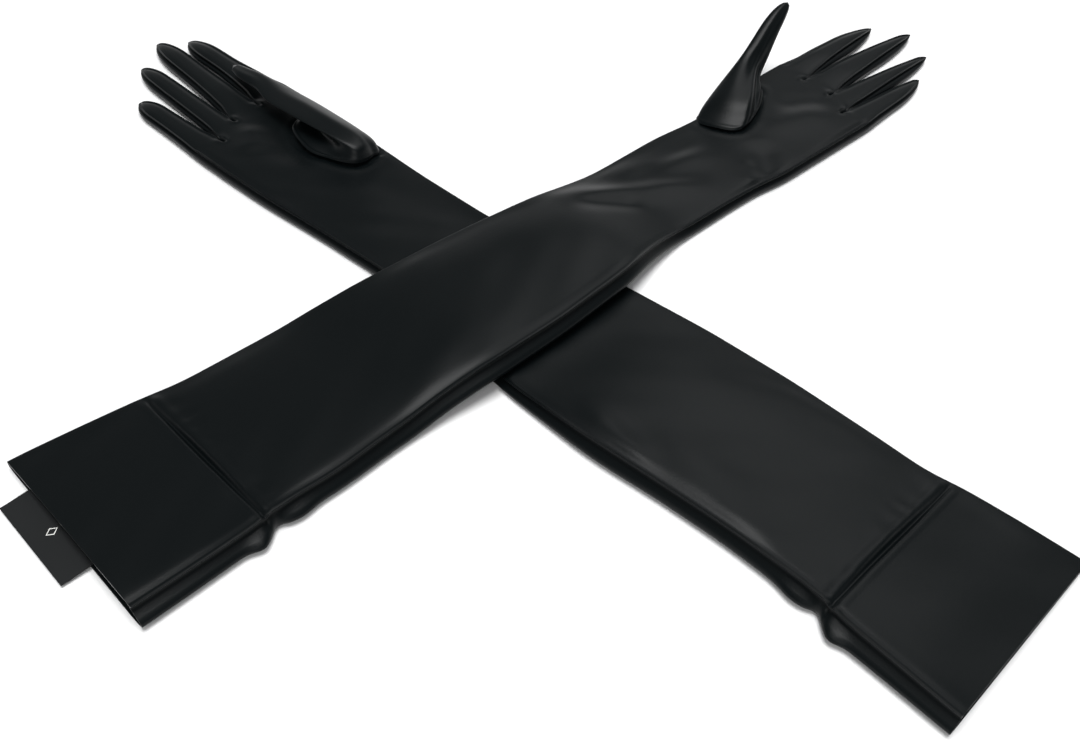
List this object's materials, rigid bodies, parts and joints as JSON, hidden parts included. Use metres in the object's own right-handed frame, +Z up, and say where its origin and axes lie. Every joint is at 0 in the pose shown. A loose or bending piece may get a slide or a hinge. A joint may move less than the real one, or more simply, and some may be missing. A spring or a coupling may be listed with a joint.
{
  "type": "opera gloves",
  "caption": "Pair of shoulder-length opera gloves in smooth black faux leather, palms up and crossed, with set-in thumbs, fourchette fingers, sewn cuff bands and a cuff label.",
  "frame": {"origin": "On the table, on the underside of the right glove, where the two gloves' centre lines cross", "axes": "+X runs along the left glove from cuff to fingertips, +Y to its thumb side, +Z up from the table; the right glove runs at 92 degrees to +X"},
  "size_m": [0.631, 0.6155, 0.0428],
  "materials": {
    "leather": "satin, very fine grain",
    "label": "woven satin"
  },
  "bodies": {
    "right_forearm": {"right_forearm_back_side": "leather", "right_forearm_palm_side": "leather"},
    "right_upper_arm": {"right_cuff_back_side": "leather", "right_cuff_palm_side": "leather", "right_upper_arm_back_side": "leather", "right_upper_arm_palm_side": "leather"},
    "right_hand": {"right_hand_back_side": "leather", "right_hand_palm_side": "leather", "right_index_root_back_side": "leather", "right_index_root_palm_side": "leather", "right_index_root_ulnar_fourchette": "leather", "right_thumb_base": "leather"},
    "right_thumb": {"right_thumb": "leather"},
    "right_index": {"right_index_back_side": "leather", "right_index_palm_side": "leather", "right_index_ulnar_fourchette": "leather"},
    "right_middle": {"right_middle_back_side": "leather", "right_middle_palm_side": "leather", "right_middle_radial_fourchette": "leather", "right_middle_ulnar_fourchette": "leather"},
    "right_ring": {"right_ring_back_side": "leather", "right_ring_palm_side": "leather", "right_ring_radial_fourchette": "leather", "right_ring_ulnar_fourchette": "leather"},
    "right_little": {"right_little_back_side": "leather", "right_little_palm_side": "leather", "right_little_radial_fourchette": "leather"},
    "left_forearm": {"left_forearm_back_side": "leather", "left_forearm_palm_side": "leather"},
    "left_upper_arm": {"left_cuff_back_side": "leather", "left_cuff_palm_side": "leather", "left_upper_arm_back_side": "leather", "left_upper_arm_palm_side": "leather"},
    "left_hand": {"left_hand_back_side": "leather", "left_hand_palm_side": "leather", "left_thumb_base": "leather"},
    "left_thumb": {"left_thumb": "leather"},
    "left_index": {"left_index_back_side": "leather", "left_index_palm_side": "leather", "left_index_ulnar_fourchette": "leather"},
    "left_middle": {"left_middle_back_side": "leather", "left_middle_palm_side": "leather", "left_middle_radial_fourchette": "leather", "left_middle_ulnar_fourchette": "leather"},
    "left_ring": {"left_ring_back_side": "leather", "left_ring_palm_side": "leather", "left_ring_radial_fourchette": "leather", "left_ring_ulnar_fourchette": "leather"},
    "left_little": {"left_little_back_side": "leather", "left_little_palm_side": "leather", "left_little_radial_fourchette": "leather"},
    "left_label": {"left_label": "label"}
  },
  "joints": [
    {"name": "left_glove_lift", "type": "slide", "parent": "right_forearm", "child": "left_forearm", "axis": [0, 0, 1], "range_m": [0, 0.2]},
    {"name": "right_elbow_fold", "type": "hinge", "parent": "right_forearm", "child": "right_upper_arm", "pos_m": [0.00713, -0.15944, 0.012], "axis": [-0.9993, -0.0384, 0], "range_deg": [0, 80]},
    {"name": "right_wrist_bend", "type": "hinge", "parent": "right_forearm", "child": "right_hand", "pos_m": [-0.01204, 0.10501, 0.008], "axis": [0.9993, 0.0384, 0], "range_deg": [0, 80]},
    {"name": "right_index_bend", "type": "hinge", "parent": "right_hand", "child": "right_index", "pos_m": [0.00697, 0.25485, 0.008], "axis": [0.9993, 0.0384, 0], "range_deg": [0, 70]},
    {"name": "right_middle_bend", "type": "hinge", "parent": "right_hand", "child": "right_middle", "pos_m": [-0.01403, 0.21402, 0.008], "axis": [1, 0.0035, 0], "range_deg": [0, 70]},
    {"name": "right_ring_bend", "type": "hinge", "parent": "right_hand", "child": "right_ring", "pos_m": [-0.0333, 0.21028, 0.008], "axis": [0.9998, 0.0209, 0], "range_deg": [0, 70]},
    {"name": "right_little_bend", "type": "hinge", "parent": "right_hand", "child": "right_little", "pos_m": [-0.04981, 0.19863, 0.008], "axis": [0.9959, 0.0906, 0], "range_deg": [0, 70]},
    {"name": "right_thumb_lift", "type": "hinge", "parent": "right_hand", "child": "right_thumb", "pos_m": [0.00841, 0.18486, 0.0209], "axis": [0.9993, 0.0384, 0], "range_deg": [0, 70]},
    {"name": "left_elbow_fold", "type": "hinge", "parent": "left_forearm", "child": "left_upper_arm", "pos_m": [-0.102, -0.0025, 0.012], "axis": [0, 1, 0], "range_deg": [0, 80]},
    {"name": "left_wrist_bend", "type": "hinge", "parent": "left_forearm", "child": "left_hand", "pos_m": [0.163, -0.0045, 0.008], "axis": [0, -1, 0], "range_deg": [0, 80]},
    {"name": "left_index_bend", "type": "hinge", "parent": "left_hand", "child": "left_index", "pos_m": [0.272, 0.02225, 0.008], "axis": [0, -1, 0], "range_deg": [0, 70]},
    {"name": "left_middle_bend", "type": "hinge", "parent": "left_hand", "child": "left_middle", "pos_m": [0.272, -0.0003, 0.008], "axis": [0, -1, 0], "range_deg": [0, 70]},
    {"name": "left_ring_bend", "type": "hinge", "parent": "left_hand", "child": "left_ring", "pos_m": [0.269, -0.0197, 0.008], "axis": [0, -1, 0], "range_deg": [0, 70]},
    {"name": "left_little_bend", "type": "hinge", "parent": "left_hand", "child": "left_little", "pos_m": [0.258, -0.03665, 0.008], "axis": [0, -1, 0], "range_deg": [0, 70]},
    {"name": "left_thumb_lift", "type": "hinge", "parent": "left_hand", "child": "left_thumb", "pos_m": [0.23687, 0.02417, 0.02478], "axis": [0.3635, -0.9316, 0], "range_deg": [0, 50]},
    {"name": "left_label_lift", "type": "hinge", "parent": "left_upper_arm", "child": "left_label", "pos_m": [-0.237, 0.012, 0.0013], "axis": [0, 1, 0], "range_deg": [0, 50]}
  ]
}
